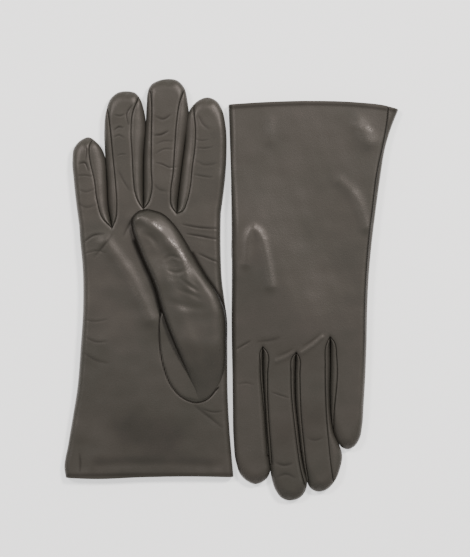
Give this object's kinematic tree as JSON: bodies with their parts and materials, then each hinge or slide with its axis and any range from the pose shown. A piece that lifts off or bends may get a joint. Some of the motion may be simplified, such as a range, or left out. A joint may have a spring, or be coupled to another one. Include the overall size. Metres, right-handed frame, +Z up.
{
  "type": "pair of leather gloves",
  "caption": "Pair of slim lined leather dress gloves lying flat side by side, one palm up and one back up, thumbs folded in, fingers and thumbs that bend.",
  "frame": {"origin": "middle of the bounding box, on the surface that both gloves lie on", "axes": "+Z up; +Y along the right glove from its cuff to its fingertips; +X towards the left glove"},
  "size_m": [0.2251, 0.2867, 0.0216],
  "materials": {
    "leather": "satin",
    "lining": "matte"
  },
  "bodies": {
    "right_hand": {"right_trank_hand": "leather", "right_thumb_gusset": "leather", "right_cuff_hem": "leather", "right_hand_lining": "lining"},
    "right_index": {"right_index_leather": "leather", "right_index_outer_fourchette": "leather", "right_index_lining": "lining"},
    "right_middle": {"right_middle_palm_leather": "leather", "right_middle_back_leather": "leather", "right_middle_outer_fourchette": "leather", "right_middle_inner_fourchette": "leather", "right_middle_lining": "lining"},
    "right_ring": {"right_ring_palm_leather": "leather", "right_ring_back_leather": "leather", "right_ring_outer_fourchette": "leather", "right_ring_inner_fourchette": "leather", "right_ring_lining": "lining"},
    "right_little": {"right_little_leather": "leather", "right_little_inner_fourchette": "leather", "right_little_lining": "lining"},
    "right_thumb": {"right_thumb_leather": "leather", "right_thumb_lining": "lining"},
    "left_hand": {"left_trank_hand": "leather", "left_thumb_gusset": "leather", "left_cuff_hem": "leather", "left_hand_lining": "lining"},
    "left_index": {"left_index_leather": "leather", "left_index_outer_fourchette": "leather", "left_index_lining": "lining"},
    "left_middle": {"left_middle_palm_leather": "leather", "left_middle_back_leather": "leather", "left_middle_outer_fourchette": "leather", "left_middle_inner_fourchette": "leather", "left_middle_lining": "lining"},
    "left_ring": {"left_ring_palm_leather": "leather", "left_ring_back_leather": "leather", "left_ring_outer_fourchette": "leather", "left_ring_inner_fourchette": "leather", "left_ring_lining": "lining"},
    "left_little": {"left_little_leather": "leather", "left_little_inner_fourchette": "leather", "left_little_lining": "lining"},
    "left_thumb": {"left_thumb_leather": "leather", "left_thumb_lining": "lining"}
  },
  "joints": [
    {"name": "left_glove_lift", "type": "slide", "parent": "right_hand", "child": "left_hand", "axis": [0, 0, 1], "range_m": [0, 0.2]},
    {"name": "right_index_bend", "type": "hinge", "parent": "right_hand", "child": "right_index", "pos_m": [-0.022, 0.058, 0.0131], "axis": [1, 0, 0], "range_deg": [0, 90]},
    {"name": "right_middle_bend", "type": "hinge", "parent": "right_hand", "child": "right_middle", "pos_m": [-0.0484, 0.0605, 0.0131], "axis": [1, 0, 0], "range_deg": [0, 90]},
    {"name": "right_ring_bend", "type": "hinge", "parent": "right_hand", "child": "right_ring", "pos_m": [-0.0717, 0.06, 0.0131], "axis": [1, 0, 0], "range_deg": [0, 90]},
    {"name": "right_little_bend", "type": "hinge", "parent": "right_hand", "child": "right_little", "pos_m": [-0.0934, 0.047, 0.0131], "axis": [1, 0, 0], "range_deg": [0, 90]},
    {"name": "right_thumb_open", "type": "hinge", "parent": "right_hand", "child": "right_thumb", "pos_m": [-0.0099, -0.0066, 0.0217], "axis": [0.2154, 0.9765, 0], "range_deg": [0, 90]},
    {"name": "left_index_bend", "type": "hinge", "parent": "left_hand", "child": "left_index", "pos_m": [0.0114, -0.0433, 0.0131], "axis": [-1, 0, 0], "range_deg": [0, 60]},
    {"name": "left_middle_bend", "type": "hinge", "parent": "left_hand", "child": "left_middle", "pos_m": [0.0331, -0.0463, 0.0131], "axis": [-1, 0, 0], "range_deg": [0, 60]},
    {"name": "left_ring_bend", "type": "hinge", "parent": "left_hand", "child": "left_ring", "pos_m": [0.0559, -0.0463, 0.0131], "axis": [-1, 0, 0], "range_deg": [0, 60]},
    {"name": "left_little_bend", "type": "hinge", "parent": "left_hand", "child": "left_little", "pos_m": [0.0797, -0.0373, 0.0131], "axis": [-1, 0, 0], "range_deg": [0, 60]},
    {"name": "left_thumb_open", "type": "hinge", "parent": "left_hand", "child": "left_thumb", "pos_m": [0.002, 0.0233, 0.0049], "axis": [0.2154, 0.9765, 0], "range_deg": [0, 90]}
  ]
}
